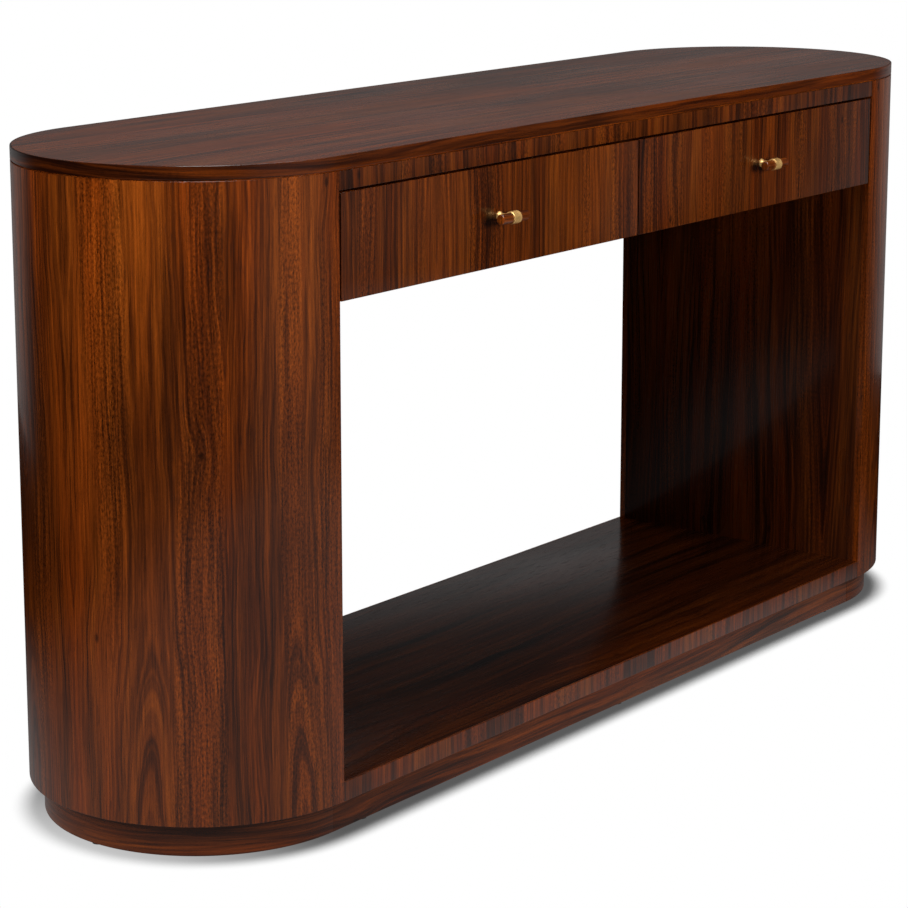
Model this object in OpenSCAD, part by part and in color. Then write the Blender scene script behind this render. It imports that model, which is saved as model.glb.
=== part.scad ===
// Console table with half-round ends, two drawers and a low shelf.
// Millimetres. X runs along the table, the front faces -Y, +Z is up.
// The origin is on the floor, at the middle of the table.

/* [Overall] */
// Length over both round ends
table_l = 1700; // [1500:10:1900]
// Depth, front to back
table_d = 450; // [440:5:480]
// Height of the top surface
table_h = 840; // [800:5:900]

/* [Top] */
// Thickness of the top, with its shadow line
top_t = 18; // [18:1:25]
// Height of the shadow line under the top
shadow_h = 1.5; // [1:0.5:3]
// How far the shadow line is cut in
shadow_in = 3; // [2.5:0.5:5]
// Thickness of the band round the top's edge
band_t = 2; // [1:0.5:2]

/* [Ends] */
// Wall of the half-round end shells
shell_t = 10; // [8:1:12]
// Thickness of the flat inner panels and of the ribs
panel_t = 18; // [18:1:19]

/* [Drawers] */
// Height of the rail above the drawers
rail_h = 23; // [22:1:28]
// Depth of the rail and of the stretcher behind it
rail_d = 70; // [60:5:80]
// Gap round the drawer fronts
front_gap = 3; // [2:0.5:4]
// Height of the drawer fronts
front_h = 129.5; // [125:0.5:140]
// Thickness of the drawer fronts
front_t = 20; // [18:1:22]
// Thickness of the drawer box boards
box_t = 13; // [12:1:15]
// Height of the drawer box
box_h = 100; // [90:1:100]
// Length of the drawer box
box_l = 380; // [370:5:380]
// Length of the slides
slide_l = 350; // [300:50:350]

/* [Knobs] */
// Length of the wooden bar
bar_l = 55; // [45:1:70]
// Diameter of the wooden bar
bar_d = 13; // [11:0.5:15]
// Width of the brass ring
ring_w = 15.5; // [12:0.5:20]
// Wall of the brass ring
ring_t = 1.7; // [1.5:0.1:2.5]
// Distance from the drawer front to the middle of the bar
bar_reach = 22.5; // [20:0.5:30]

/* [Shelf and plinth] */
// Thickness of the shelf
shelf_t = 25; // [22:1:30]
// Thickness of the shelf's edge strips
lipping_t = 3; // [2:0.5:5]
// Height of the plinth, with its glides
plinth_h = 45; // [45:1:70]
// How far the plinth is set back
plinth_in = 18; // [15:1:25]
// Thickness of the plinth boards
plinth_t = 18; // [18:1:20]
// Thickness of the floor glides
glide_t = 1.5; // [1:0.5:3]

/* [Hidden] */
$fn = 96;

walnut = "#6b3a1c";
walnut_dark = "#4a2813";
walnut_edge = "#7d4a28";
birch = "#c9a878";
brass = "#c79a3f";
steel = "#b9bcc0";
zinc = "#9da1a6";
nylon = "#2b2b2b";

// Running clearance round pins and screws, on the radius
fit = 0.05;
// How far a cutting shape runs past the face it cuts
past = 1;

// Ends
end_r = table_d / 2;
col_x = table_l / 2 - end_r;
inner_r = end_r - shell_t - fit;
top_z = table_h - top_t;
rib_step = (top_z - panel_t - plinth_h) / 3;
rib_z = [for (i = [0:3]) plinth_h + i * rib_step];

// Drawer case
rail_z = top_z - rail_h;
front_top = rail_z - front_gap;
front_z = front_top - front_h;
front_y = -end_r;
back_t = 18;
back_y = end_r - back_t;
case_t = 12;
case_y = front_y + front_t + 2;
divider_t = 18;
bumper_d = 8;
bumper_t = case_y - front_y - front_t - 0.3;
bumper_x = [60, col_x - 60];

// One drawer bay, the right one; the left one is its mirror image
bay_x = divider_t / 2;
bay_w = col_x - bay_x;
slide_w = 12.7;
slide_h = 45;
slide_y = front_y + front_t + 5;
box_x = bay_x + slide_w;
box_w = bay_w - 2 * slide_w;
box_y = front_y + front_t;
box_z = front_z + case_t + 5.5;
slide_z = box_z + box_h / 2;
groove_z = box_z + 8;
bottom_t = 6;
groove_in = 6;
front_x = front_gap / 2;
front_w = col_x - front_gap - front_x;

// Slide sections, measured from the fixed side
steel_t = 1.5;
middle_u = 3.2;
middle_h = 37;
moving_u = 5.5;
moving_h = 27;
stagger = 10;
slide_screw_y = [slide_y + 30, slide_y + 165, slide_y + 300];
slide_screw_l = 8;

// Knobs
knob_x = col_x / 2;
knob_z = front_z + front_h / 2;
ring_r = bar_d / 2 + fit + ring_t;
thread_d = 4;
thread_in = 9;
washer_t = 1;

// Screws: [shank diameter, head diameter, head height]
wood_screw = [4, 8, 2.5];
slide_screw = [3.5, 7, 1.2];
machine_screw = [thread_d, 8, 2.7];
top_bite = 9;
top_screw_x = [for (k = [-0.88, -0.3, 0.3, 0.88]) k * col_x];
rib_screw_x = -110;
rib_screw_y = 80;
front_screw_x = [front_x + 90, front_x + front_w - 90];
front_screw_z = [box_z + 30, box_z + 70];
front_screw_l = box_t + 12;

// Dowels between the inner panels and the boards: [y, z, diameter]
dowel_in_panel = 12;
dowel_in_board = 24;
shelf_dowel_z = plinth_h + shelf_t / 2;
case_dowel_z = front_z + case_t / 2;
rail_dowel_z = rail_z + rail_h / 2;
dowels = [
    [-150, shelf_dowel_z, 8],
    [0, shelf_dowel_z, 8],
    [150, shelf_dowel_z, 8],
    [-165, case_dowel_z, 6],
    [-55, case_dowel_z, 6],
    [55, case_dowel_z, 6],
    [165, case_dowel_z, 6],
    [front_y + 16, rail_dowel_z, 8],
    [front_y + rail_d - 16, rail_dowel_z, 8],
    [back_y - 16, rail_dowel_z, 8],
    [back_y - rail_d + 16, rail_dowel_z, 8]
];

// Plinth
plinth_r = end_r - plinth_in;
brace_x = [-0.64 * col_x, 0, 0.64 * col_x];
brace_screw_y = 120;
// The brace screws' heads sit this high, in counterbores
seat_z = glide_t + 15;
brace_screw_l = plinth_h - seat_z + shelf_t / 2;
glide_d = 16;
glide_mid = plinth_r - plinth_t / 2;
glide_x = [-0.9 * col_x, 0, 0.9 * col_x];
pin_d = 3;
pin_l = 10;

// A board from its lowest corner and its size
module board(at, size) {
    translate(at) cube(size);
}

// The plan of the table, drawn in by inset
module racetrack(inset, h) {
    linear_extrude(h) {
        square([2 * col_x, table_d - 2 * inset], center = true);
        for (s = [-1, 1]) translate([s * col_x, 0]) circle(end_r - inset);
    }
}

// A half ring on the -X side of its centre
module half_ring(r, wall, h) {
    rotate([0, 0, 90])
        rotate_extrude(angle = 180)
            translate([r - wall, 0]) square([wall, h]);
}

// Places the left end's shape, or its mirror image at the right end
module at_end(s) {
    mirror([s > 0 ? 1 : 0, 0, 0]) translate([-col_x, 0, 0]) children();
}

// Keeps the right bay's shape, or mirrors it to the left bay
module in_bay(s) {
    mirror([s < 0 ? 1 : 0, 0, 0]) children();
}

// A screw along +Z with its head under z = 0
module screw(kind, l) {
    translate([0, 0, -kind[2]]) cylinder(h = kind[2], d = kind[1]);
    cylinder(h = l, d = kind[0]);
    translate([0, 0, l]) cylinder(h = kind[0] / 2, d1 = kind[0], d2 = kind[0] / 3);
}

// The hole that such a screw needs
module screw_hole(kind, l) {
    translate([0, 0, -past]) cylinder(h = l + kind[0] / 2 + past + 0.5, d = kind[0] + 2 * fit);
}

// Top screws go up into the top: through the rails, and through the top ribs
module at_rail_screws() {
    for (x = top_screw_x, y = [front_y + rail_d / 2, back_y - rail_d / 2])
        translate([x, y, rail_z]) children();
}

module at_rib_screws() {
    for (s = [-1, 1], y = [-rib_screw_y, rib_screw_y])
        at_end(s) translate([rib_screw_x, y, top_z - panel_t]) children();
}

// Dowel holes in the panel at one end, and in the boards that meet it
module dowel_holes(s) {
    for (d = dowels)
        at_end(s)
            translate([-dowel_in_panel - fit, d[0], d[1]])
                rotate([0, 90, 0])
                    cylinder(h = dowel_in_panel + dowel_in_board + 2 * fit, d = d[2] + 2 * fit);
}

// Slide screws in the right bay, seen from the fixed rails
module at_fixed_screws() {
    for (y = slide_screw_y) {
        translate([bay_x + steel_t, y + stagger, slide_z]) rotate([0, -90, 0]) children();
        translate([col_x - steel_t, y + stagger, slide_z]) rotate([0, 90, 0]) children();
    }
}

module at_moving_screws() {
    for (y = slide_screw_y) {
        translate([box_x - steel_t, y - stagger, slide_z]) rotate([0, 90, 0]) children();
        translate([box_x + box_w + steel_t, y - stagger, slide_z]) rotate([0, -90, 0]) children();
    }
}

// A channel along Y, with its back at u = 0 and its lips towards +X
module channel(h, w, l) {
    translate([0, 0, -h / 2]) cube([steel_t, l, h]);
    for (z = [-h / 2, h / 2 - steel_t]) translate([0, 0, z]) cube([w, l, steel_t]);
}

// The same channel on both walls of the right bay, its back u from each wall
module on_both_walls(u) {
    translate([bay_x + u, slide_y, slide_z]) children();
    translate([col_x - u, slide_y, slide_z]) mirror([1, 0, 0]) children();
}

module at_front_screws() {
    for (x = front_screw_x, z = front_screw_z)
        translate([x, box_y + box_t, z]) rotate([90, 0, 0]) children();
}

module at_knob() {
    translate([knob_x, front_y, knob_z]) children();
}

// Top

module top_panel() color(walnut) {
    difference() {
        union() {
            translate([0, 0, top_z + shadow_h]) racetrack(band_t, top_t - shadow_h);
            translate([0, 0, top_z]) racetrack(shadow_in, shadow_h);
        }
        at_rail_screws() screw_hole(wood_screw, rail_h + top_bite);
        at_rib_screws() screw_hole(wood_screw, panel_t + top_bite);
    }
}

module top_edge_band() color(walnut_edge) {
    translate([0, 0, top_z + shadow_h])
        difference() {
            racetrack(0, top_t - shadow_h);
            translate([0, 0, -past]) racetrack(band_t, top_t + 2 * past);
        }
}

module top_screws() color(zinc) {
    at_rail_screws() screw(wood_screw, rail_h + top_bite);
    at_rib_screws() screw(wood_screw, panel_t + top_bite);
}

// Ends

module end_shell(s) color(walnut) {
    at_end(s) translate([0, 0, plinth_h]) half_ring(end_r, shell_t, top_z - plinth_h);
}

module end_ribs(s) color(birch) {
    difference() {
        at_end(s)
            for (z = rib_z)
                translate([0, 0, z])
                    intersection() {
                        cylinder(h = panel_t, r = inner_r);
                        board([-end_r, -end_r, 0], [end_r - panel_t, table_d, panel_t]);
                    }
        at_rib_screws() screw_hole(wood_screw, panel_t + top_bite);
    }
}

module inner_panel(s) color(walnut) {
    difference() {
        at_end(s)
            translate([0, 0, plinth_h])
                intersection() {
                    cylinder(h = top_z - plinth_h, r = inner_r);
                    board([-panel_t, -end_r, 0], [panel_t, table_d, top_z - plinth_h]);
                }
        dowel_holes(s);
        in_bay(s) at_fixed_screws() screw_hole(slide_screw, slide_screw_l);
    }
}

// Drawer case

module front_rail() color(walnut_edge) {
    difference() {
        board([-col_x, front_y, rail_z], [2 * col_x, rail_d, rail_h]);
        at_rail_screws() screw_hole(wood_screw, rail_h + top_bite);
        for (s = [-1, 1]) dowel_holes(s);
    }
}

module back_stretcher() color(birch) {
    difference() {
        board([-col_x, back_y - rail_d, rail_z], [2 * col_x, rail_d, rail_h]);
        at_rail_screws() screw_hole(wood_screw, rail_h + top_bite);
        for (s = [-1, 1]) dowel_holes(s);
    }
}

module back_apron() color(walnut) {
    board([-col_x, back_y, front_z], [2 * col_x, back_t, top_z - front_z]);
}

module case_bottom() color(walnut_dark) {
    difference() {
        board([-col_x, case_y, front_z], [2 * col_x, back_y - case_y, case_t]);
        for (s = [-1, 1]) dowel_holes(s);
    }
}

module centre_divider() color(birch) {
    difference() {
        board([-bay_x, case_y, front_z + case_t],
              [divider_t, back_y - case_y, rail_z - front_z - case_t]);
        for (s = [-1, 1]) in_bay(s) at_fixed_screws() screw_hole(slide_screw, slide_screw_l);
    }
}

module drawer_bumpers() color(nylon) {
    for (s = [-1, 1], x = bumper_x)
        translate([s * x, case_y, front_z + case_t / 2])
            rotate([90, 0, 0]) cylinder(h = bumper_t, d = bumper_d);
}

module carcass_dowels() color(birch) {
    for (s = [-1, 1], d = dowels)
        at_end(s)
            translate([-dowel_in_panel, d[0], d[1]])
                rotate([0, 90, 0]) cylinder(h = dowel_in_panel + dowel_in_board, d = d[2]);
}

// Shelf

module shelf_panel() color(walnut) {
    difference() {
        board([-col_x, front_y + lipping_t, plinth_h],
              [2 * col_x, table_d - 2 * lipping_t, shelf_t]);
        for (s = [-1, 1]) dowel_holes(s);
        at_brace_screws() screw_hole(wood_screw, brace_screw_l);
    }
}

module shelf_front_edge() color(walnut_edge) {
    board([-col_x, front_y, plinth_h], [2 * col_x, lipping_t, shelf_t]);
}

module shelf_back_edge() color(walnut_edge) {
    board([-col_x, end_r - lipping_t, plinth_h], [2 * col_x, lipping_t, shelf_t]);
}

// Plinth

module at_brace_screws() {
    for (x = brace_x, y = [-brace_screw_y, brace_screw_y])
        translate([x, y, seat_z]) children();
}

module at_glides() {
    for (x = glide_x, y = [-glide_mid, glide_mid]) translate([x, y, 0]) children();
    for (s = [-1, 0, 1]) translate([s * (col_x + glide_mid), 0, 0]) children();
}

module pin_holes() {
    at_glides() cylinder(h = glide_t + pin_l + 0.5, d = pin_d + 2 * fit);
}

module plinth_rail(y) color(walnut_dark) {
    difference() {
        board([-col_x, y, glide_t], [2 * col_x, plinth_t, plinth_h - glide_t]);
        pin_holes();
    }
}

module plinth_end(s) color(walnut_dark) {
    difference() {
        at_end(s) translate([0, 0, glide_t]) half_ring(plinth_r, plinth_t, plinth_h - glide_t);
        pin_holes();
    }
}

module plinth_braces() color(birch) {
    difference() {
        for (x = brace_x)
            board([x - plinth_t / 2, plinth_t - plinth_r, glide_t],
                  [plinth_t, 2 * (plinth_r - plinth_t), plinth_h - glide_t]);
        at_brace_screws() {
            screw_hole(wood_screw, brace_screw_l);
            translate([0, 0, -seat_z]) cylinder(h = seat_z, d = wood_screw[1] + 1);
        }
        pin_holes();
    }
}

module plinth_screws() color(zinc) {
    at_brace_screws() screw(wood_screw, brace_screw_l);
}

module floor_glides() color(nylon) {
    at_glides() {
        cylinder(h = glide_t, d = glide_d);
        cylinder(h = glide_t + pin_l, d = pin_d);
    }
}

// Slides: a fixed, a middle and a moving channel on each wall of a bay

module fixed_slides(s) color(steel) {
    in_bay(s)
        difference() {
            on_both_walls(0) channel(slide_h, slide_w - steel_t, slide_l);
            at_fixed_screws() screw_hole(slide_screw, slide_screw_l);
        }
}

module middle_slides(s) color(steel) {
    in_bay(s) on_both_walls(middle_u) channel(middle_h, slide_w - middle_u - steel_t, slide_l);
}

module drawer_slides(s) color(steel) {
    in_bay(s)
        difference() {
            on_both_walls(slide_w) mirror([1, 0, 0]) channel(moving_h, slide_w - moving_u, slide_l);
            at_moving_screws() screw_hole(slide_screw, slide_screw_l);
        }
}

module slide_screws() color(zinc) {
    for (s = [-1, 1]) in_bay(s) at_fixed_screws() screw(slide_screw, slide_screw_l);
}

module drawer_slide_screws(s) color(zinc) {
    in_bay(s) at_moving_screws() screw(slide_screw, slide_screw_l);
}

// Drawers

module drawer_front(s) color(walnut) {
    in_bay(s)
        difference() {
            board([front_x, front_y, front_z], [front_w, front_t, front_h]);
            at_front_screws() screw_hole(wood_screw, front_screw_l);
            at_knob() knob_hole();
        }
}

module drawer_box_front(s) color(birch) {
    in_bay(s)
        difference() {
            board([box_x + box_t, box_y, box_z], [box_w - 2 * box_t, box_t, box_h]);
            board([box_x, box_y + box_t - groove_in, groove_z], [box_w, groove_in + past, bottom_t]);
            at_front_screws() screw_hole(wood_screw, front_screw_l);
            at_knob() knob_hole();
        }
}

module drawer_box_back(s) color(birch) {
    top_of_bottom = groove_z + bottom_t;
    in_bay(s)
        board([box_x + box_t, box_y + box_l - box_t, top_of_bottom],
              [box_w - 2 * box_t, box_t, box_z + box_h - top_of_bottom]);
}

// A side, with its groove for the bottom on its inner face
module drawer_side(s, x, groove_x) color(birch) {
    in_bay(s)
        difference() {
            board([x, box_y, box_z], [box_t, box_l, box_h]);
            board([groove_x, box_y - past, groove_z], [groove_in, box_l + 2 * past, bottom_t]);
            at_moving_screws() screw_hole(slide_screw, slide_screw_l);
        }
}

module drawer_inner_side(s) {
    drawer_side(s, box_x, box_x + box_t - groove_in);
}

module drawer_outer_side(s) {
    drawer_side(s, box_x + box_w - box_t, box_x + box_w - box_t);
}

module drawer_bottom(s) color(birch) {
    in_bay(s)
        board([box_x + box_t - groove_in, box_y + box_t - groove_in, groove_z],
              [box_w - 2 * (box_t - groove_in), box_l - box_t + groove_in, bottom_t]);
}

module drawer_front_screws(s) color(zinc) {
    in_bay(s) at_front_screws() screw(wood_screw, front_screw_l);
}

// Knobs

// The hole for the knob's screw, through both fronts
module knob_hole() {
    translate([0, -past, 0])
        rotate([-90, 0, 0]) cylinder(h = front_t + box_t + 2 * past, d = thread_d + 2 * fit);
}

// A turned stem that stands on the drawer front and carries the ring
module knob_post(s) color(brass) {
    foot_r = 6;
    waist_r = 3.9;
    in_bay(s)
        at_knob()
            difference() {
                rotate([90, 0, 0]) {
                    cylinder(h = 1.2, r = foot_r);
                    translate([0, 0, 1.2]) cylinder(h = 3.6, r1 = foot_r - 0.4, r2 = waist_r);
                    translate([0, 0, 4.8]) cylinder(h = 5.4, r = waist_r);
                    translate([0, 0, 10.2]) cylinder(h = 2.8, r1 = waist_r, r2 = 5.2);
                    translate([0, 0, 13]) cylinder(h = bar_reach - ring_r - 11, r = 5.2);
                }
                translate([-ring_w, -bar_reach, 0])
                    rotate([0, 90, 0]) cylinder(h = 2 * ring_w, r = ring_r);
                rotate([90, 0, 0])
                    translate([0, 0, -past]) cylinder(h = thread_in + past, d = thread_d + 2 * fit);
            }
}

module knob_ring(s) color(brass) {
    in_bay(s)
        at_knob()
            translate([-ring_w / 2, -bar_reach, 0])
                rotate([0, 90, 0])
                    difference() {
                        cylinder(h = ring_w, r = ring_r);
                        translate([0, 0, -past]) cylinder(h = ring_w + 2 * past, r = ring_r - ring_t);
                    }
}

module knob_bar(s) color(walnut_dark) {
    rim = 0.8;
    in_bay(s)
        at_knob()
            translate([-bar_l / 2, -bar_reach, 0])
                rotate([0, 90, 0]) {
                    cylinder(h = rim, d1 = bar_d - 2 * rim, d2 = bar_d);
                    translate([0, 0, rim]) cylinder(h = bar_l - 2 * rim, d = bar_d);
                    translate([0, 0, bar_l - rim]) cylinder(h = rim, d1 = bar_d, d2 = bar_d - 2 * rim);
                }
}

module knob_washer(s) color(zinc) {
    in_bay(s)
        at_knob()
            translate([0, front_t + box_t + washer_t, 0])
                rotate([90, 0, 0])
                    difference() {
                        cylinder(h = washer_t, d = 12);
                        translate([0, 0, -past]) cylinder(h = washer_t + 2 * past, d = thread_d + 2 * fit);
                    }
}

module knob_screw(s) color(zinc) {
    reach = front_t + box_t + washer_t;
    in_bay(s)
        at_knob()
            translate([0, reach, 0])
                rotate([90, 0, 0]) {
                    translate([0, 0, -machine_screw[2]]) cylinder(h = machine_screw[2], d = machine_screw[1]);
                    cylinder(h = reach + thread_in - past, d = thread_d);
                }
}

top_panel();
top_edge_band();
end_shell(-1);  // left_end_shell
end_shell(1);  // right_end_shell
end_ribs(-1);  // left_end_ribs
end_ribs(1);  // right_end_ribs
inner_panel(-1);  // left_inner_panel
inner_panel(1);  // right_inner_panel
front_rail();
back_stretcher();
back_apron();
case_bottom();
centre_divider();
drawer_bumpers();
shelf_panel();
shelf_front_edge();
shelf_back_edge();
carcass_dowels();
plinth_rail(-plinth_r);  // plinth_front_rail
plinth_rail(plinth_r - plinth_t);  // plinth_back_rail
plinth_end(-1);  // plinth_left_end
plinth_end(1);  // plinth_right_end
plinth_braces();
plinth_screws();
floor_glides();
top_screws();
fixed_slides(-1);  // left_fixed_slides
fixed_slides(1);  // right_fixed_slides
slide_screws();
middle_slides(-1);  // left_middle_slides
middle_slides(1);  // right_middle_slides
drawer_front(-1);  // left_drawer_front
drawer_box_front(-1);  // left_drawer_box_front
drawer_box_back(-1);  // left_drawer_box_back
drawer_inner_side(-1);  // left_drawer_inner_side
drawer_outer_side(-1);  // left_drawer_outer_side
drawer_bottom(-1);  // left_drawer_bottom
drawer_slides(-1);  // left_drawer_slides
drawer_slide_screws(-1);  // left_drawer_slide_screws
drawer_front_screws(-1);  // left_drawer_front_screws
knob_post(-1);  // left_knob_post
knob_ring(-1);  // left_knob_ring
knob_bar(-1);  // left_knob_bar
knob_screw(-1);  // left_knob_screw
knob_washer(-1);  // left_knob_washer
drawer_front(1);  // right_drawer_front
drawer_box_front(1);  // right_drawer_box_front
drawer_box_back(1);  // right_drawer_box_back
drawer_inner_side(1);  // right_drawer_inner_side
drawer_outer_side(1);  // right_drawer_outer_side
drawer_bottom(1);  // right_drawer_bottom
drawer_slides(1);  // right_drawer_slides
drawer_slide_screws(1);  // right_drawer_slide_screws
drawer_front_screws(1);  // right_drawer_front_screws
knob_post(1);  // right_knob_post
knob_ring(1);  // right_knob_ring
knob_bar(1);  // right_knob_bar
knob_screw(1);  // right_knob_screw
knob_washer(1);  // right_knob_washer
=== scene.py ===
# Console table with half-round veneered ends, two drawers and a low shelf:
# walnut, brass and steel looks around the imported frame, and the studio it stands in.
import math

import bmesh
import bpy
from mathutils import Matrix, Vector


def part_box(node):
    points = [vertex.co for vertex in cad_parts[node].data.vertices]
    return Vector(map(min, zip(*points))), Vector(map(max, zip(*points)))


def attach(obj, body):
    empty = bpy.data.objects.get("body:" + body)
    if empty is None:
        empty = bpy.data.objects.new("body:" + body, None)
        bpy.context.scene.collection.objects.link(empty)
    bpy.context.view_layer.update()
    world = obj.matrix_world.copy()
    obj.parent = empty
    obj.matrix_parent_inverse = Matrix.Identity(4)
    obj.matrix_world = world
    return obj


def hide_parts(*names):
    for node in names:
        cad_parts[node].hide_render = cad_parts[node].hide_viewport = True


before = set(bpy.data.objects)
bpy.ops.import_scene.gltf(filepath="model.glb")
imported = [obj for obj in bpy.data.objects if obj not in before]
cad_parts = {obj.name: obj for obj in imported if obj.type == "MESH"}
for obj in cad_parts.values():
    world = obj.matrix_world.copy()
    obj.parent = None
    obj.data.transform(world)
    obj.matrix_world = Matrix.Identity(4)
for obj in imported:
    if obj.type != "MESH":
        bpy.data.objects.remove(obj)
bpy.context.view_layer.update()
print("frame loaded with", len(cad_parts), "nodes")

# the plan is two half circles, with their middles at -endX and endX, joined by straight sides
topLow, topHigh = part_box("top_edge_band")
endRadius = (topHigh[1] - topLow[1]) / 2
endX = topHigh[0] - endRadius
sides = {"left": -1, "right": 1}
halfTurn = math.pi

meshing = {
    "roundSteps": 96,      # faces round a half circle
    "edgeSegments": 3,     # faces across a softened edge
    "sharpAngle": 35,      # degrees: edges that turn more than this stay crisp
    "joinDistance": 1e-5,  # points closer than this are one point
}


def finishPiece(name, bm, nodes, body, material):
    # joins the seams, takes out the faces that a push left inside, and puts the piece on its body
    bmesh.ops.remove_doubles(bm, verts=bm.verts[:], dist=meshing["joinDistance"])
    inside = [face for face in bm.faces if all(len(edge.link_faces) > 2 for edge in face.edges)]
    bmesh.ops.delete(bm, geom=inside, context="FACES_ONLY")
    bmesh.ops.recalc_face_normals(bm, faces=bm.faces[:])
    mesh = bpy.data.meshes.new(name)
    bm.to_mesh(mesh)
    bm.free()
    mesh.shade_smooth()
    mesh.set_sharp_from_angle(angle=math.radians(meshing["sharpAngle"]))
    mesh.materials.append(material)
    piece = bpy.data.objects.new(name, mesh)
    bpy.context.collection.objects.link(piece)
    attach(piece, body)
    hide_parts(*nodes)


def softenEdges(bm, edges, radius, segments=meshing["edgeSegments"]):
    bmesh.ops.bevel(bm, geom=edges, offset=radius, offset_type="OFFSET", segments=segments,
                    profile=0.5, affect="EDGES", clamp_overlap=True, material=-1)


def boardMesh(low, high, arris):
    bm = bmesh.new()
    size = Vector(high) - Vector(low)
    middle = (Vector(high) + Vector(low)) / 2
    bmesh.ops.create_cube(bm, size=1, matrix=Matrix.Translation(middle) @ Matrix.Diagonal((*size, 1)))
    softenEdges(bm, bm.edges[:], arris)
    return bm


def profileFace(bm, x, y, z, arris):
    # an upright rectangle at x, from y[0] to y[1] and from z[0] to z[1], with its corners rounded
    corners = [bm.verts.new((x, py, pz)) for py, pz in
               ((y[0], z[0]), (y[1], z[0]), (y[1], z[1]), (y[0], z[1]))]
    bm.faces.new(corners)
    bmesh.ops.bevel(bm, geom=corners, offset=arris, offset_type="OFFSET",
                    segments=meshing["edgeSegments"], profile=0.5, affect="VERTICES",
                    clamp_overlap=True, material=-1)
    return bm.faces[:][0]


def turnFace(bm, face, centreX, angle):
    made = bmesh.ops.spin(bm, geom=[face], cent=(centreX, 0, 0), axis=(0, 0, 1), angle=angle,
                          steps=meshing["roundSteps"], use_duplicate=False)
    return next(g for g in made["geom_last"] if isinstance(g, bmesh.types.BMFace))


def pushFace(bm, face, move):
    made = bmesh.ops.extrude_face_region(bm, geom=[face])["geom"]
    bmesh.ops.translate(bm, vec=move, verts=[g for g in made if isinstance(g, bmesh.types.BMVert)])
    return next(g for g in made if isinstance(g, bmesh.types.BMFace))


def halfRoundMesh(side, y, z, arris):
    # a wall bent round one end, from its front edge to its back edge
    bm = bmesh.new()
    face = profileFace(bm, side * endX, y, z, arris)
    turnFace(bm, face, side * endX, side * halfTurn)
    return bm


def bandMesh(y, z, arris):
    # a strip that runs all the way round the table's plan
    bm = bmesh.new()
    first = profileFace(bm, -endX, y, z, arris)
    last = turnFace(bm, first, -endX, -halfTurn)
    last = pushFace(bm, last, (2 * endX, 0, 0))
    last = turnFace(bm, last, endX, -halfTurn)
    last = pushFace(bm, last, (-2 * endX, 0, 0))
    bmesh.ops.delete(bm, geom=[first, last], context="FACES_ONLY")
    return bm


def racetrackFace(bm, radius, z):
    # the plan's outline, filled
    ends = []
    for side in (-1, 1):
        start = bm.verts.new((side * endX, -side * radius, z))
        turned = bmesh.ops.spin(bm, geom=[start], cent=(side * endX, 0, 0), axis=(0, 0, 1),
                                angle=halfTurn, steps=meshing["roundSteps"], use_duplicate=False)
        ends.append((start, next(g for g in turned["geom_last"] if isinstance(g, bmesh.types.BMVert))))
    (leftStart, leftStop), (rightStart, rightStop) = ends
    bm.edges.new((leftStop, rightStart))
    bm.edges.new((rightStop, leftStart))
    made = bmesh.ops.contextual_create(bm, geom=bm.edges[:])
    return made["faces"][0]


def latheMesh(outline, steps):
    # a closed outline of (place along X, radius), turned round the X axis
    bm = bmesh.new()
    verts = [bm.verts.new((x, radius, 0)) for x, radius in outline]
    edges = [bm.edges.new(pair) for pair in zip(verts, verts[1:] + verts[:1])]
    bmesh.ops.spin(bm, geom=verts + edges, cent=(0, 0, 0), axis=(1, 0, 0), angle=2 * math.pi,
                   steps=steps, use_merge=True, use_duplicate=False)
    return bm


# every veneered piece has a UV map in metres, across the grain first and along it second
def layBoardGrain(bm, grainAxis):
    grain = bm.loops.layers.uv.new("grain")
    for face in bm.faces:
        looks = max(range(3), key=lambda axis: abs(face.normal[axis]))
        others = [axis for axis in range(3) if axis != looks]
        along = grainAxis if grainAxis in others else others[1]
        across = others[0] if along == others[1] else others[1]
        for loop in face.loops:
            place = loop.vert.co
            loop[grain].uv = (place[across] + place[looks], place[along])


def layColumnGrain(bm, side):
    # across is the way round from the front edge
    grain = bm.loops.layers.uv.new("grain")
    for face in bm.faces:
        for loop in face.loops:
            place = loop.vert.co
            out = side * place.x - endX
            turn = math.atan2(max(out, 0), -place.y)
            depth = endRadius - math.hypot(out, place.y)
            loop[grain].uv = (endRadius * turn + depth, place.z)


def layBandGrain(bm, radius):
    # along is the way round the plan, starting at the middle of the front
    grain = bm.loops.layers.uv.new("grain")
    for face in bm.faces:
        middle = face.calc_center_median()
        for loop in face.loops:
            place = loop.vert.co
            if abs(middle.x) <= endX:
                travel = place.x if middle.y < 0 else 2 * endX + halfTurn * radius - place.x
                depth = radius - abs(place.y)
            else:
                side = math.copysign(1, middle.x)
                out = side * place.x - endX
                travel = side * (endX + radius * math.atan2(max(out, 0), -place.y))
                depth = radius - math.hypot(out, place.y)
            loop[grain].uv = (place.z - depth, travel)


def startMaterial(name):
    material = bpy.data.materials.new(name)
    material.use_nodes = True
    return material, material.node_tree, material.node_tree.nodes["Principled BSDF"]


def addNode(tree, kind, inputs, **settings):
    made = tree.nodes.new("ShaderNode" + kind)
    for setting, value in settings.items():
        setattr(made, setting, value)
    for key, value in inputs.items():
        if isinstance(value, bpy.types.NodeSocket):
            tree.links.new(value, made.inputs[key])
        else:
            made.inputs[key].default_value = value
    return made


def calc(tree, operation, first, second=0.0, third=0.0):
    inputs = {0: first, 1: second, 2: third}
    return addNode(tree, "Math", inputs, operation=operation).outputs[0]


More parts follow.
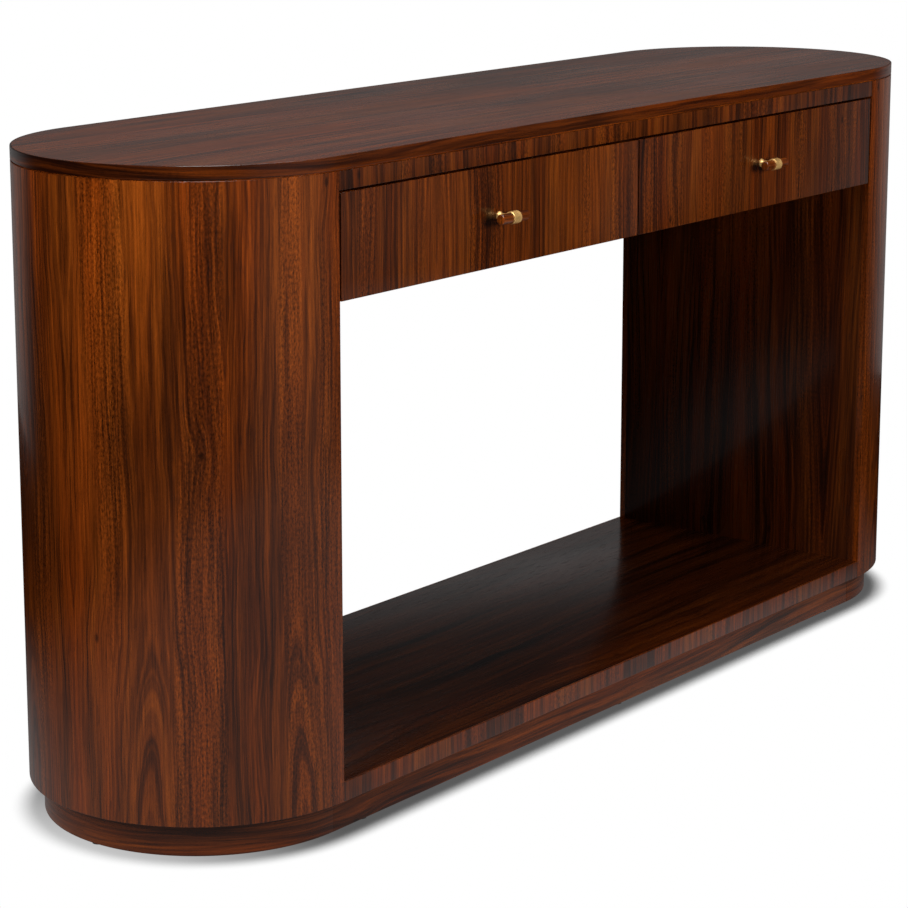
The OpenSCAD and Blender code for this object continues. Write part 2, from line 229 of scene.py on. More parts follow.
def stretchedNoise(tree, place, across, along, detail=2.0, roughness=0.5, shift=0.0):
    # noise with its features 1/across wide and 1/along long
    vector = addNode(tree, "VectorMath", {0: place, 1: (across, along, 1), 2: (shift, shift, 0)},
                     operation="MULTIPLY_ADD").outputs[0]
    return addNode(tree, "TexNoise", {"Vector": vector, "Scale": 1.0, "Detail": detail,
                                      "Roughness": roughness}, noise_dimensions="2D").outputs[0]


def remap(tree, value, fromLow, fromHigh, toLow, toHigh, smooth=False):
    kind = "SMOOTHSTEP" if smooth else "LINEAR"
    return addNode(tree, "MapRange", {0: value, 1: fromLow, 2: fromHigh, 3: toLow, 4: toHigh},
                   interpolation_type=kind).outputs[0]


def ramp(tree, value, stops):
    made = addNode(tree, "ValToRGB", {0: value})
    elements = made.color_ramp.elements
    while len(elements) < len(stops):
        elements.new(0.5)
    for element, (place, colour) in zip(elements, stops):
        element.position = place
        element.color = (*colour, 1)
    return made.outputs[0]


def tint(tree, colour, factor):
    # multiplies a colour by a number
    return addNode(tree, "VectorMath", {0: colour, "Scale": factor}, operation="SCALE").outputs[0]


def blendColours(tree, factor, first, second):
    return addNode(tree, "Mix", {0: factor, 6: first, 7: second}, data_type="RGBA").outputs[2]


def colourPiece(tree, shader, colour, roughness):
    tree.links.new(colour, shader.inputs["Base Color"])
    tree.links.new(roughness, shader.inputs["Roughness"])


def roughenPiece(tree, shader, height, strength, distance):
    bump = addNode(tree, "Bump", {"Height": height, "Strength": strength, "Distance": distance})
    tree.links.new(bump.outputs[0], shader.inputs["Normal"])


walnut = {
    # colour of the rings, from a dark line to the light early wood
    "tones": [(0.22, (0.0150, 0.0030, 0.0009)), (0.38, (0.0470, 0.0088, 0.0013)),
              (0.54, (0.1130, 0.0212, 0.0021)), (0.76, (0.1850, 0.0370, 0.0033))],
    "green": (0.90, 1.12), "blue": (0.75, 1.20),  # from the warm streaks to the cool ones
    "knots": (5.2, 2.3, 1),     # knots to the metre, across and along
    "knotReach": 0.14,          # how far round a knot the rings bend, of the space between two
    "knotHeart": (0.006, 0.020), "knotTone": 0.35,  # its dark middle
    "archBlend": 0.08,          # over this height the arches turn into straight grain
    "fibreDepth": 0.52, "fleckAndGlintDepth": 0.45, "leafDepth": 0.08,  # how much each changes the tone
    "fleckAndGlintZone": (0.50, 0.62), "fleckAndGlintElsewhere": 0.15,
    "poreZone": (0.60, 0.72), "poreTone": 0.62, "poreRoughness": 0.10,
    "poreStrength": 0.25, "poreDepth": 0.00006,
    "glossRange": 0.03, "coatRoughness": 0.10, "ior": 1.45,
}
# noise in the wood: features to the metre across the grain and along it; the rings' own width
# is in the figure of each veneer
woodNoise = {
    "drift": {"across": 3.0, "along": 1.1, "detail": 2},
    "wobble": {"across": 16, "along": 4.2, "detail": 3, "roughness": 0.6, "shift": 7.3},
    "bands": {"along": 0.8, "detail": 3, "roughness": 0.55},
    "lines": {"along": 2.6, "detail": 3, "roughness": 0.65, "shift": 4.2},
    "clouds": {"across": 5.5, "along": 1.6, "detail": 3, "shift": 11.7},
    "warmth": {"across": 24, "along": 1.4, "detail": 2, "shift": 8.8},
    "fibres": {"across": 330, "along": 6.5, "detail": 4, "roughness": 0.7},
    "pores": {"across": 620, "along": 26, "detail": 2, "shift": 5.9},
    "fleckAndGlint": {"across": 430, "along": 210, "detail": 2, "roughness": 0.6, "shift": 2.2},
    "fleckAndGlintZone": {"across": 14, "along": 0.7, "detail": 1, "shift": 9.4},
    "gloss": {"across": 9, "along": 2.5, "detail": 3, "roughness": 0.6, "shift": 4.4},
}


def walnutVeneer(name, figure):
    # Sliced walnut under satin lacquer. The rings are read along one distance from the heart of the
    # log, which closes into arches where the cut runs out of them, so every line follows the figure.
    material, tree, shader = startMaterial(name)
    uv = addNode(tree, "UVMap", {}, uv_map="grain").outputs[0]
    parts = addNode(tree, "SeparateXYZ", {0: uv})
    across = calc(tree, "ADD", parts.outputs[0], figure["shiftAcross"])
    along = calc(tree, "ADD", parts.outputs[1], figure["shiftAlong"])

    # matched leaves: the rings of each mirror those of the one beside it
    leaf = calc(tree, "PINGPONG", across, figure["leafWidth"])
    leafNumber = calc(tree, "FLOOR", calc(tree, "DIVIDE", across, figure["leafWidth"]))
    leafTone = addNode(tree, "TexWhiteNoise", {"W": leafNumber}, noise_dimensions="1D").outputs[0]
    place = addNode(tree, "CombineXYZ", {0: across, 1: along, 2: 0.0}).outputs[0]

    # how the grain wanders, and the pin knots it bends round
    drift = remap(tree, stretchedNoise(tree, place, **woodNoise["drift"]), 0, 1,
                  -figure["drift"], figure["drift"])
    wobble = remap(tree, stretchedNoise(tree, place, **woodNoise["wobble"]), 0, 1,
                   -figure["wobble"], figure["wobble"])
    knotPlace = addNode(tree, "VectorMath", {0: place, 1: walnut["knots"]}, operation="MULTIPLY").outputs[0]
    knots = addNode(tree, "TexVoronoi", {"Vector": knotPlace, "Scale": 1.0, "Randomness": 1.0},
                    voronoi_dimensions="2D").outputs["Distance"]
    pull = remap(tree, knots, 0.0, walnut["knotReach"], figure["knotPull"], 0.0, smooth=True)
    wander = calc(tree, "ADD", drift, wobble)
    fromHeart = calc(tree, "ADD", calc(tree, "SUBTRACT", leaf, figure["heart"]), wander)
    height = calc(tree, "SMOOTH_MIN", parts.outputs[1], figure["archTop"], walnut["archBlend"])
    rise = calc(tree, "MULTIPLY_ADD", height, figure["taper"], figure["cut"])
    squares = calc(tree, "ADD", calc(tree, "MULTIPLY", fromHeart, fromHeart),
                   calc(tree, "MULTIPLY", rise, rise))
    ring = calc(tree, "SUBTRACT", calc(tree, "SQRT", squares), pull)

    # growth rings: bands of tone and fine lines, which come and go along the grain
    sheet = addNode(tree, "CombineXYZ", {0: ring, 1: along, 2: 0.0}).outputs[0]
    bands = stretchedNoise(tree, sheet, across=figure["bands"], **woodNoise["bands"])
    lines = stretchedNoise(tree, sheet, across=figure["lines"], **woodNoise["lines"])
    clouds = stretchedNoise(tree, place, **woodNoise["clouds"])
    tone = 0.5
    for layer, depth in ((bands, "bandDepth"), (lines, "lineDepth"), (clouds, "cloudDepth")):
        tone = calc(tree, "MULTIPLY_ADD", calc(tree, "SUBTRACT", layer, 0.5), figure[depth], tone)
    warmth = stretchedNoise(tree, sheet, **woodNoise["warmth"])
    hue = addNode(tree, "CombineXYZ", {0: 1.0, 1: remap(tree, warmth, 0.3, 0.7, *walnut["green"]),
                                       2: remap(tree, warmth, 0.3, 0.7, *walnut["blue"])}).outputs[0]
    colour = addNode(tree, "VectorMath", {0: ramp(tree, tone, walnut["tones"]), 1: hue},
                     operation="MULTIPLY").outputs[0]

    # fibres, flecks where the fibres wave (partly their own colour, partly a painted glint), pores and pin
    # knots
    fibres = stretchedNoise(tree, place, **woodNoise["fibres"])
    pores = stretchedNoise(tree, place, **woodNoise["pores"])
    poreMask = remap(tree, pores, *walnut["poreZone"], 0.0, 1.0, smooth=True)
    # painted glint: flecks lighter and darker than the wood, in zones where the fibres wave
    fleckAndGlint = remap(tree, stretchedNoise(tree, place, **woodNoise["fleckAndGlint"]), 0.3, 0.7,
                    -walnut["fleckAndGlintDepth"], walnut["fleckAndGlintDepth"])
    fleckAndGlintZone = remap(tree, stretchedNoise(tree, place, **woodNoise["fleckAndGlintZone"]),
                        *walnut["fleckAndGlintZone"], walnut["fleckAndGlintElsewhere"], 1.0, smooth=True)
    level = calc(tree, "ADD", calc(tree, "MULTIPLY", fleckAndGlint, fleckAndGlintZone),
                 remap(tree, fibres, 0.25, 0.75, 1 - walnut["fibreDepth"], 1 + walnut["fibreDepth"]))
    for factor in (remap(tree, leafTone, 0, 1, 1 - walnut["leafDepth"], 1 + walnut["leafDepth"]),
                   remap(tree, poreMask, 0, 1, 1.0, walnut["poreTone"]),
                   remap(tree, knots, *walnut["knotHeart"], walnut["knotTone"], 1.0, smooth=True),
                   figure["tone"]):
        level = calc(tree, "MULTIPLY", level, factor)

    # lacquer fills most of the grain, so only the pores are left in the surface
    gloss = remap(tree, stretchedNoise(tree, place, **woodNoise["gloss"]), 0.3, 0.7,
                  figure["roughness"] - walnut["glossRange"], figure["roughness"] + walnut["glossRange"])
    roughness = calc(tree, "MULTIPLY_ADD", poreMask, walnut["poreRoughness"], gloss)
    colourPiece(tree, shader, tint(tree, colour, level), roughness)
    roughenPiece(tree, shader, calc(tree, "SUBTRACT", 1.0, poreMask), walnut["poreStrength"],
                 walnut["poreDepth"])
    shader.inputs["Coat Weight"].default_value = figure["coat"]
    shader.inputs["Coat Roughness"].default_value = walnut["coatRoughness"]
    shader.inputs["IOR"].default_value = walnut["ior"]
    return material


veneerDefaults = {
    "shiftAcross": 0.0, "shiftAlong": 0.0,  # where on the sheet the piece is cut from, in metres
    "leafWidth": 0.155,   # width of one leaf before the next one mirrors it
    "heart": -0.25,       # where the heart lies, from the leaf's edge
    "taper": 0.020,       # how fast the cut runs out of the rings
    "archTop": 10.0,      # where the arches end and the grain runs straight
    "cut": 0.004,         # depth of the cut beside the heart
    "drift": 0.030, "wobble": 0.0050, "knotPull": 0.005,
    "bands": 34.0, "lines": 150.0,  # rings to the metre
    "bandDepth": 0.75, "lineDepth": 0.75, "cloudDepth": 0.35,
    "tone": 1.0, "roughness": 0.27, "coat": 0.30,
}


def veneer(name, **changes):
    return walnutVeneer(name, {**veneerDefaults, **changes})


veneers = {
    "column": veneer("columnVeneer", shiftAcross=-0.157, leafWidth=0.200, heart=0.093, taper=0.085,
                     archTop=0.26, cut=0.006, drift=0.024, wobble=0.0075, tone=1.16,
                     bandDepth=0.50, lines=230, lineDepth=0.75, cloudDepth=0.42),
    "panel": veneer("innerPanelVeneer", shiftAcross=0.31, shiftAlong=2.1, tone=0.70, bandDepth=0.45),
    "top": veneer("topVeneer", shiftAcross=0.225, shiftAlong=5.2, drift=0.04, bands=48, lines=230,
                  bandDepth=0.45, lineDepth=0.9, tone=1.25),
    "topEdge": veneer("topEdgeVeneer", shiftAcross=-0.80, shiftAlong=9.0, leafWidth=0.9, tone=0.78,
                      drift=0.04, wobble=0.004, cloudDepth=0.9, bandDepth=0.5),
    "rail": veneer("railVeneer", shiftAcross=0.40, shiftAlong=12.0, tone=0.80, bandDepth=0.45,
                   lines=190),
    "leftDrawer": veneer("leftDrawerVeneer", shiftAcross=1.13, shiftAlong=3.4, bandDepth=0.5,
                         lines=190, wobble=0.0065, cloudDepth=0.5, tone=0.93),
    # the right drawer's veneer is a darker copy of the left one's: painted shade, where the light falls off
    # to the right
    "rightDrawer": veneer("rightDrawerVeneer", shiftAcross=1.13, shiftAlong=6.9, bandDepth=0.5,
                          lines=190, wobble=0.0065, cloudDepth=0.5, tone=0.74),
    # the shelf's veneer is darkened to a third: painted shade, for the shade under the drawer case
    "shelf": veneer("shelfVeneer", shiftAcross=0.70, shiftAlong=15.3, tone=0.32, drift=0.04,
                    roughness=0.24, coat=0.10),
    "shelfEdge": veneer("shelfEdgeVeneer", shiftAcross=0.52, shiftAlong=18.2, bandDepth=0.35, coat=0.8,
                        roughness=0.34),
    "plinth": veneer("plinthVeneer", shiftAcross=-0.30, shiftAlong=21.0, leafWidth=0.9, coat=0.0,
                     drift=0.04, wobble=0.004, cloudDepth=0.9, bandDepth=0.5),
    "knob": veneer("knobWalnut", shiftAcross=0.02, shiftAlong=24.0, leafWidth=0.9, tone=1.05,
                   roughness=0.30, coat=0.6),
}
print("walnut veneers ready")


birch = {
    "face": [(0.30, (0.42, 0.27, 0.14)), (0.52, (0.58, 0.41, 0.24)), (0.75, (0.68, 0.52, 0.33))],
    "plies": [(0.35, (0.62, 0.46, 0.28)), (0.48, (0.20, 0.11, 0.05)), (0.60, (0.36, 0.23, 0.12))],
    "plyThickness": 0.0014,
    "grainAcross": 60, "grainAlong": 3,  # features to the metre
    "roughness": (0.42, 0.55), "grainStrength": 0.25, "grainDepth": 0.0002,
}


def plywood(name, thicknessAxis, paintedShadeFactor=1.0):
    # birch faces, with the plies showing on every edge of the board
    material, tree, shader = startMaterial(name)
    place = addNode(tree, "TexCoord", {}).outputs["Object"]
    wide, long = birch["grainAcross"], birch["grainAlong"]
    stretch = (wide, long, wide) if thicknessAxis == 0 else (long, wide, wide)
    figure = addNode(tree, "VectorMath", {0: place, 1: stretch}, operation="MULTIPLY").outputs[0]
    grain = addNode(tree, "TexNoise", {"Vector": figure, "Scale": 1.0, "Detail": 4.0}).outputs[0]
    depth = addNode(tree, "SeparateXYZ", {0: place}).outputs[thicknessAxis]
    ply = calc(tree, "PINGPONG", depth, birch["plyThickness"])
    edge = ramp(tree, calc(tree, "DIVIDE", ply, birch["plyThickness"]), birch["plies"])
    normal = addNode(tree, "NewGeometry", {}).outputs["Normal"]
    looks = calc(tree, "ABSOLUTE", addNode(tree, "SeparateXYZ", {0: normal}).outputs[thicknessAxis])
    onEdge = remap(tree, looks, 0.3, 0.7, 1.0, 0.0)
    wood = blendColours(tree, onEdge, ramp(tree, grain, birch["face"]), edge)
    # paintedShadeFactor darkens the whole board, as painted shade
    colourPiece(tree, shader, tint(tree, wood, paintedShadeFactor), remap(tree, grain, 0.3, 0.7, *birch["roughness"]))
    roughenPiece(tree, shader, grain, birch["grainStrength"], birch["grainDepth"])
    return material


metalWear = {
    "patchScale": 90.0,                 # worn patches to the metre
    "lighten": 0.6, "patchShare": 0.5,  # of the wear: how much is lighter strokes, and patches
    "dulling": (0.75, 1.35),            # of the roughness: from polished to worn
    "strength": 0.2, "depth": 0.0001,
}


def scratchedMetal(name, colour, roughness, wear, stretch, metallic=1.0):
    # wear lightens and dulls it in fine strokes; stretch is how many strokes there are to the metre
    material, tree, shader = startMaterial(name)
    place = addNode(tree, "TexCoord", {}).outputs["Object"]
    strokes = addNode(tree, "VectorMath", {0: place, 1: stretch}, operation="MULTIPLY").outputs[0]
    fine = addNode(tree, "TexNoise", {"Vector": strokes, "Scale": 1.0, "Detail": 4.0}).outputs[0]
    patches = addNode(tree, "TexNoise", {"Vector": place, "Scale": metalWear["patchScale"],
                                         "Detail": 3.0}).outputs[0]
    patchWear = wear * metalWear["patchShare"]
    level = calc(tree, "ADD", remap(tree, fine, 0.3, 0.7, 1 - wear, 1 + wear * metalWear["lighten"]),
                 remap(tree, patches, 0.3, 0.7, -patchWear, patchWear))
    polished, worn = (roughness * part for part in metalWear["dulling"])
    colourPiece(tree, shader, tint(tree, colour, level), remap(tree, fine, 0.25, 0.75, polished, worn))
    roughenPiece(tree, shader, fine, metalWear["strength"], metalWear["depth"])
    shader.inputs["Metallic"].default_value = metallic
    return material


plasticGrit = {"scale": 1500.0, "tone": (0.85, 1.2), "roughnessRange": 0.08,
               "strength": 0.3, "depth": 0.0001}


def mouldedPlastic(name, colour, roughness):
    material, tree, shader = startMaterial(name)
    place = addNode(tree, "TexCoord", {}).outputs["Object"]
    grit = addNode(tree, "TexNoise", {"Vector": place, "Scale": plasticGrit["scale"],
                                      "Detail": 2.0}).outputs[0]
    level = remap(tree, grit, 0.3, 0.7, *plasticGrit["tone"])
    dullness = remap(tree, grit, 0.3, 0.7, roughness - plasticGrit["roughnessRange"],
                     roughness + plasticGrit["roughnessRange"])
    colourPiece(tree, shader, tint(tree, colour, level), dullness)
    roughenPiece(tree, shader, grit, plasticGrit["strength"], plasticGrit["depth"])
    return material


# birch boards by the axis that their thickness lies along
birchX, birchY, birchZ = (plywood(f"birchPly{axis}", number) for number, axis in enumerate("XYZ"))
# the centre divider is darkened almost to black: painted shade in the gap between the drawers
shadeDarkenedPly = plywood("shadeDarkenedPly", 0, paintedShadeFactor=0.06)
brass = scratchedMetal("knurledBrass", (0.95, 0.56, 0.20), roughness=0.36, wear=0.45,
                       stretch=(1400, 1400, 1400), metallic=0.62)
zinc = scratchedMetal("zincPlate", (0.55, 0.56, 0.58), roughness=0.38, wear=0.12,
                      stretch=(400, 400, 400))
slideSteel = scratchedMetal("slideSteel", (0.62, 0.63, 0.65), roughness=0.30, wear=0.10,
                            stretch=(900, 12, 900))
nylon = mouldedPlastic("blackNylon", (0.020, 0.020, 0.020), roughness=0.5)
rubber = mouldedPlastic("softRubber", (0.030, 0.030, 0.030), roughness=0.75)


def dressNode(name, material):
    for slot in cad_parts[name].material_slots:
        slot.material = material


hiddenParts = {
    "left_end_ribs": birchZ, "right_end_ribs": birchZ, "back_stretcher": birchZ,
    "centre_divider": shadeDarkenedPly, "plinth_braces": birchX, "carcass_dowels": birchY,
    "drawer_bumpers": rubber, "floor_glides": nylon, "plinth_screws": zinc, "top_screws": zinc,
    "slide_screws": zinc,
}
drawerParts = {
    "drawer_box_front": birchY, "drawer_box_back": birchY, "drawer_inner_side": birchX,
    "drawer_outer_side": birchX, "drawer_bottom": birchZ, "drawer_slides": slideSteel,
    "middle_slides": slideSteel, "fixed_slides": slideSteel, "drawer_slide_screws": zinc,
    "drawer_front_screws": zinc, "knob_screw": zinc, "knob_washer": zinc,
}
for name, material in hiddenParts.items():
    dressNode(name, material)
for sideName in sides:
    for name, material in drawerParts.items():
        dressNode(f"{sideName}_{name}", material)
print("inner parts dressed")


# the top is a veneered board with a shadow line under it, and the strip round its edge
topShape = {"stripArris": 0.0011, "shadowLine": 0.0015, "shadowIn": 0.001}
panelLow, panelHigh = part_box("top_panel")
panelRadius = (panelHigh[1] - panelLow[1]) / 2

bm = bmesh.new()
pushFace(bm, racetrackFace(bm, panelRadius, topHigh[2]), (0, 0, topLow[2] - topHigh[2]))
bm.normal_update()
lower = min(bm.faces, key=lambda f: (f.calc_center_median().z, -f.calc_area()))
bmesh.ops.inset_region(bm, faces=[lower], thickness=topShape["shadowIn"], use_even_offset=True)
pushFace(bm, lower, (0, 0, -topShape["shadowLine"]))
layBoardGrain(bm, 0)
finishPiece("topPanel", bm, ["top_panel"], "carcass", veneers["top"])

bm = bandMesh((-endRadius, -panelRadius), (topLow[2], topHigh[2]), topShape["stripArris"])
layBandGrain(bm, endRadius)
finishPiece("topEdgeBand", bm, ["top_edge_band"], "carcass", veneers["topEdge"])
print("top made")


# the round ends and their flat inner panels
endShape = {"shellArris": 0.0006, "panelArris": 0.0003}
for sideName, side in sides.items():
    low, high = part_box(f"{sideName}_end_shell")
    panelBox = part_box(f"{sideName}_inner_panel")
    wall = endRadius - (panelBox[1][1] - panelBox[0][1]) / 2
    bm = halfRoundMesh(side, (-endRadius, -endRadius + wall), (low[2], high[2]), endShape["shellArris"])
    layColumnGrain(bm, side)
    finishPiece(f"{sideName}EndShell", bm, [f"{sideName}_end_shell"], "carcass",
                veneers["column"])
    bm = boardMesh(*panelBox, endShape["panelArris"])
    layBoardGrain(bm, 2)
    finishPiece(f"{sideName}InnerPanel", bm, [f"{sideName}_inner_panel"], "carcass",
                veneers["panel"])
print("round ends made")


# veneered boards: node, piece, axis of the grain, slot, veneer, size of the softened edges
boards = [
    ("front_rail", "frontRail", 2, "walnut_rail", "rail", 0.0006),
    ("back_apron", "backApron", 2, "walnut_panel", "panel", 0.0006),
    ("case_bottom", "caseBottom", 0, "walnut_panel", "panel", 0.0004),
    ("shelf_panel", "shelfPanel", 0, "walnut_shelf", "shelf", 0.0002),
    ("shelf_front_edge", "shelfFrontEdge", 2, "walnut_edge", "shelfEdge", 0.0007),
    ("shelf_back_edge", "shelfBackEdge", 2, "walnut_edge", "shelfEdge", 0.0007),
]
for node, piece, grainAxis, slot, veneerName, arris in boards:
    bm = boardMesh(*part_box(node), arris)
    layBoardGrain(bm, grainAxis)
    finishPiece(piece, bm, [node], "carcass", veneers[veneerName])
print("boards made")


# the plinth has straight rails and half-round ends, all with the grain running round
plinthShape = {"arris": 0.0008}
railLow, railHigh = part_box("plinth_front_rail")
plinthRadius, plinthInner = -railLow[1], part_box("plinth_back_rail")[0][1]
for name in ("front", "back"):
    bm = boardMesh(*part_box(f"plinth_{name}_rail"), plinthShape["arris"])
    layBandGrain(bm, plinthRadius)
    finishPiece(f"plinth{name.title()}Rail", bm, [f"plinth_{name}_rail"], "carcass",
                veneers["plinth"])
for sideName, side in sides.items():
    bm = halfRoundMesh(side, (-plinthRadius, -plinthInner), (railLow[2], railHigh[2]), plinthShape["arris"])
    layBandGrain(bm, plinthRadius)
    finishPiece(f"plinth{sideName.title()}End", bm, [f"plinth_{sideName}_end"], "carcass",
                veneers["plinth"])
print("plinth made")


# a knob is a wooden bar through a knurled ring, on a stem
drawerShape = {"arris": 0.0007}
knobShape = {
    "barSteps": 64, "barRounding": 0.0016, "barSegments": 4,
    "ringGap": 0.00005, "ringRounding": 0.0006,
    "knurlRows": 9, "knurlSteps": 72, "knurlDepth": 0.00022,
    "stemSteps": 48, "screwRadius": 0.00205,
    # the stem's outline: (distance from the drawer front, radius)
    "stem": [(0.0, 0.0060), (0.0011, 0.0060), (0.0016, 0.0056), (0.0032, 0.0044), (0.0052, 0.0039),
             (0.0098, 0.0039), (0.0118, 0.0043), (0.0132, 0.0051), (0.0146, 0.0053)],
}
for sideName in sides:
    body = f"{sideName}_drawer"
    frontNode = f"{sideName}_drawer_front"
    bm = boardMesh(*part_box(frontNode), drawerShape["arris"])
    layBoardGrain(bm, 2)
    finishPiece(f"{sideName}DrawerFront", bm, [frontNode], body,
                veneers[f"{sideName}Drawer"])

    low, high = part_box(f"{sideName}_knob_bar")
    middle = (Vector(low) + Vector(high)) / 2
    barRadius = (high[2] - low[2]) / 2
    bm = bmesh.new()
    bmesh.ops.create_cone(bm, cap_ends=True, segments=knobShape["barSteps"], radius1=barRadius,
                          radius2=barRadius, depth=high[0] - low[0],
                          matrix=Matrix.Rotation(halfTurn / 2, 4, "Y"))
    rims = [e for e in bm.edges if abs(e.verts[0].co.x - e.verts[1].co.x) < meshing["joinDistance"]]
    softenEdges(bm, rims, knobShape["barRounding"], knobShape["barSegments"])
    bmesh.ops.translate(bm, vec=middle, verts=bm.verts[:])
    layBoardGrain(bm, 0)
    finishPiece(f"{sideName}KnobBar", bm, [f"{sideName}_knob_bar"], body, veneers["knob"])

    ringLow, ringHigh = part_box(f"{sideName}_knob_ring")
    ringRadius, halfWidth = (ringHigh[2] - ringLow[2]) / 2, (ringHigh[0] - ringLow[0]) / 2
    bore, rounding = barRadius + knobShape["ringGap"], knobShape["ringRounding"]
    rowStep = 2 * (halfWidth - rounding) / (knobShape["knurlRows"] - 1)
    rows = [(-halfWidth + rounding + row * rowStep, ringRadius) for row in range(knobShape["knurlRows"])]
    outline = [(-halfWidth, bore), (-halfWidth, ringRadius - rounding), *rows,
               (halfWidth, ringRadius - rounding), (halfWidth, bore)]
    bm = latheMesh(outline, knobShape["knurlSteps"])
    for vert in bm.verts:
        # every second point of the grid is pressed in, which leaves small diamonds
        row = round((vert.co.x + halfWidth - rounding) / rowStep)
        turn = round(math.atan2(vert.co.z, vert.co.y) / (2 * math.pi) * knobShape["knurlSteps"])
        onRim = math.hypot(vert.co.y, vert.co.z) > ringRadius - meshing["joinDistance"]
        if onRim and (row + turn) % 2:
            vert.co.yz *= 1 - knobShape["knurlDepth"] / ringRadius
    bmesh.ops.translate(bm, vec=middle, verts=bm.verts[:])
    finishPiece(f"{sideName}KnobRing", bm, [f"{sideName}_knob_ring"], body, brass)

    frontY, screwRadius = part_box(frontNode)[0][1], knobShape["screwRadius"]
    stem = knobShape["stem"]
    bm = latheMesh([(stem[0][0], screwRadius), *stem, (stem[-1][0], screwRadius)], knobShape["stemSteps"])
    bmesh.ops.rotate(bm, cent=(0, 0, 0), matrix=Matrix.Rotation(-halfTurn / 2, 3, "Z"), verts=bm.verts[:])
    bmesh.ops.translate(bm, vec=(middle.x, frontY, middle.z), verts=bm.verts[:])
    finishPiece(f"{sideName}KnobStem", bm, [f"{sideName}_knob_post"], body, brass)
print("drawer fronts and knobs made")


# Lamps aim from their place at their target; sizes are in metres and powers in watts. A lamp with
# its shine off is seen in no reflection, and one with its fill off gives nothing but reflections.
softboxes = {
    "sideSoftbox": {"place": (-2.70, -0.35, 1.60), "target": (-0.85, -0.05, 0.40),
                    "size": (0.6, 0.9), "power": 53, "shine": False},
    "frontSoftbox": {"place": (0.10, -2.60, 1.20), "target": (0.0, 0.0, 0.40),
                     "size": (1.0, 0.6), "power": 55, "shine": False},
    "topSoftbox": {"place": (-0.10, -0.45, 3.00), "target": (0.0, -0.1, 0.8),
                   "size": (1.8, 0.6), "power": 26},
    "backSoftbox": {"place": (2.6, 2.0, 4.2), "target": (0.0, 0.0, 0.8),
                    "size": (2.4, 1.0), "power": 10},
    "rearSoftbox": {"place": (1.30, 2.50, 0.75), "target": (0.0, 0.0, 0.42),
                    "size": (1.0, 0.6), "power": 34, "shine": False},
    "shineSoftbox": {"place": (-1.7, -1.2, 2.9), "target": (0.0, -0.2, 0.8),
                     "size": (1.2, 1.2), "power": 60, "fill": False},
}
studio = {
    "floorRadius": 2.3, "floorSteps": 128,
    "shadowReach": 0.060, "shadowSamples": 32,  # how far the contact shadow goes out from the table
    "shadowOpenness": (0.48, 0.86),             # of the floor, from full shadow to none
    "shadowTone": (0.80, 0.10), "shadowTurn": (-1.0, -0.6),  # at the left end and right of it
    "patchTone": 0.25, "patchCentre": (-0.55, -0.95, 0.0), "patchReach": (1.0, 1.9),
    "horizonTone": 0.20, "skyTone": 0.030, "horizonHeight": 0.3,
    "backWay": (0.79, 0.61, 0), "backSpread": (0.40, 0.80),
    "frontTone": 0.16, "frontWay": (0.25, -0.97, 0), "frontSpread": (0.74, 1.0),
}


def softbox(name, place, target, size, power, shine=True, fill=True):
    lamp = bpy.data.lights.new(name, "AREA")
    lamp.shape = "RECTANGLE"
    lamp.size, lamp.size_y = size
    lamp.energy = power
    holder = bpy.data.objects.new(name, lamp)
    holder.location = place
    holder.rotation_euler = (Vector(target) - Vector(place)).to_track_quat("-Z", "Y").to_euler()
    holder.visible_glossy = shine
    holder.visible_diffuse = fill
    lamp.cycles.use_multiple_importance_sampling = shine  # or a hidden lamp still leaves some shine
    bpy.context.collection.objects.link(holder)


for name, settings in softboxes.items():
    softbox(name, **settings)

bm = bmesh.new()
bmesh.ops.create_circle(bm, cap_ends=True, segments=studio["floorSteps"],
                         radius=studio["floorRadius"])
floorMesh = bpy.data.meshes.new("studioFloor")
bm.to_mesh(floorMesh)
bm.free()
floor = bpy.data.objects.new("studioFloor", floorMesh)
bpy.context.collection.objects.link(floor)

# The floor glows evenly to the camera, with a contact shadow drawn on it by how closed in it is.
# What it throws back at the table is weaker, and comes from a patch in front of the lamps.
paper, paperTree, paperShader = startMaterial("paleFloor")
openness = addNode(paperTree, "AmbientOcclusion", {"Distance": studio["shadowReach"]},
                   samples=studio["shadowSamples"]).outputs["AO"]
paperPlace = addNode(paperTree, "TexCoord", {}).outputs["Object"]
towardsRight = addNode(paperTree, "SeparateXYZ", {0: paperPlace}).outputs[0]
darkest = remap(paperTree, towardsRight, *studio["shadowTurn"], *studio["shadowTone"], smooth=True)
paperLevel = remap(paperTree, openness, *studio["shadowOpenness"], darkest, 1.0, smooth=True)
fromPatch = addNode(paperTree, "VectorMath", {0: paperPlace, 1: studio["patchCentre"]},
                    operation="DISTANCE").outputs["Value"]
patchLevel = remap(paperTree, fromPatch, *studio["patchReach"], studio["patchTone"], 0.0, smooth=True)
seenPaper = addNode(paperTree, "LightPath", {}).outputs["Is Camera Ray"]
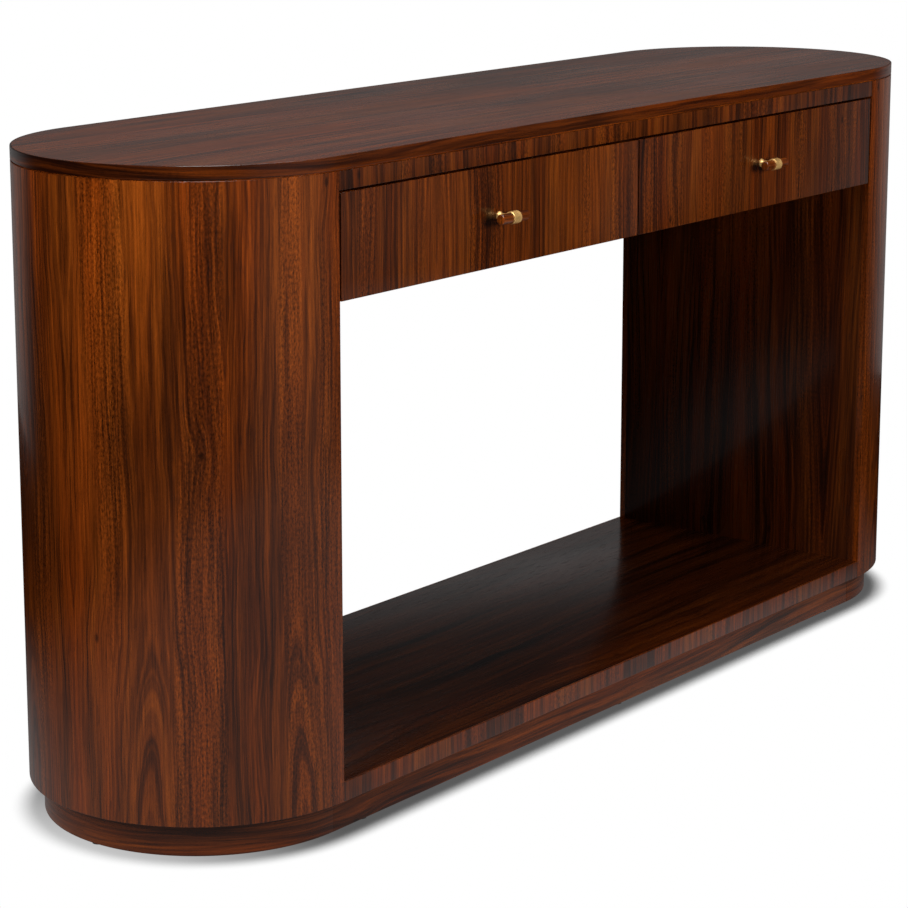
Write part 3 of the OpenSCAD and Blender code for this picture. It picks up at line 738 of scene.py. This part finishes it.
paperGlow = addNode(paperTree, "Mix", {0: seenPaper, 2: patchLevel, 3: paperLevel}).outputs[0]
paperShader.inputs["Base Color"].default_value = (0, 0, 0, 1)
paperShader.inputs["Specular IOR Level"].default_value = 0.0
paperShader.inputs["Emission Color"].default_value = (1, 1, 1, 1)
paperTree.links.new(paperGlow, paperShader.inputs["Emission Strength"])
floorMesh.materials.append(paper)

# the room is white to the camera, but lights the table from a pale wall behind and a card in front
world = bpy.data.worlds.new("studioRoom")
bpy.context.scene.world = world
world.use_nodes = True
room = world.node_tree
direction = addNode(room, "TexCoord", {}).outputs["Generated"]


def levelTowards(way, reach, level):
    facing = addNode(room, "VectorMath", {0: direction, 1: way}, operation="DOT_PRODUCT").outputs["Value"]
    return remap(room, facing, *reach, 0.0, level, smooth=True)


rising = addNode(room, "SeparateXYZ", {0: direction}).outputs[2]
backWall = remap(room, rising, 0.0, studio["horizonHeight"], studio["horizonTone"], studio["skyTone"],
                 smooth=True)
backWall = calc(room, "MULTIPLY", backWall, levelTowards(studio["backWay"], studio["backSpread"], 1.0))
frontCard = levelTowards(studio["frontWay"], studio["frontSpread"], studio["frontTone"])
roomLevel = calc(room, "ADD", backWall, frontCard)
seenRoom = addNode(room, "LightPath", {}).outputs["Is Camera Ray"]
roomShader = room.nodes["Background"]
roomGlow = addNode(room, "Mix", {0: seenRoom, 2: roomLevel, 3: 1.0}).outputs[0]
room.links.new(roomGlow, roomShader.inputs["Strength"])
roomShader.inputs["Color"].default_value = (1, 1, 1, 1)

# place in metres, turn to the right and tilt upwards in degrees
view = {"place": (-3.136, -2.339, 1.277), "turn": 52.25, "tilt": -11.78, "lens": 112.2, "shift": -0.1}
camera = bpy.data.objects.new("camera", bpy.data.cameras.new("camera"))
camera.location = view["place"]
camera.rotation_euler = (math.radians(90 + view["tilt"]), 0, -math.radians(view["turn"]))
camera.data.lens = view["lens"]
camera.data.shift_y = view["shift"]
bpy.context.collection.objects.link(camera)
scene = bpy.context.scene
scene.camera = camera
scene.view_settings.view_transform = "Standard"
print("studio ready")
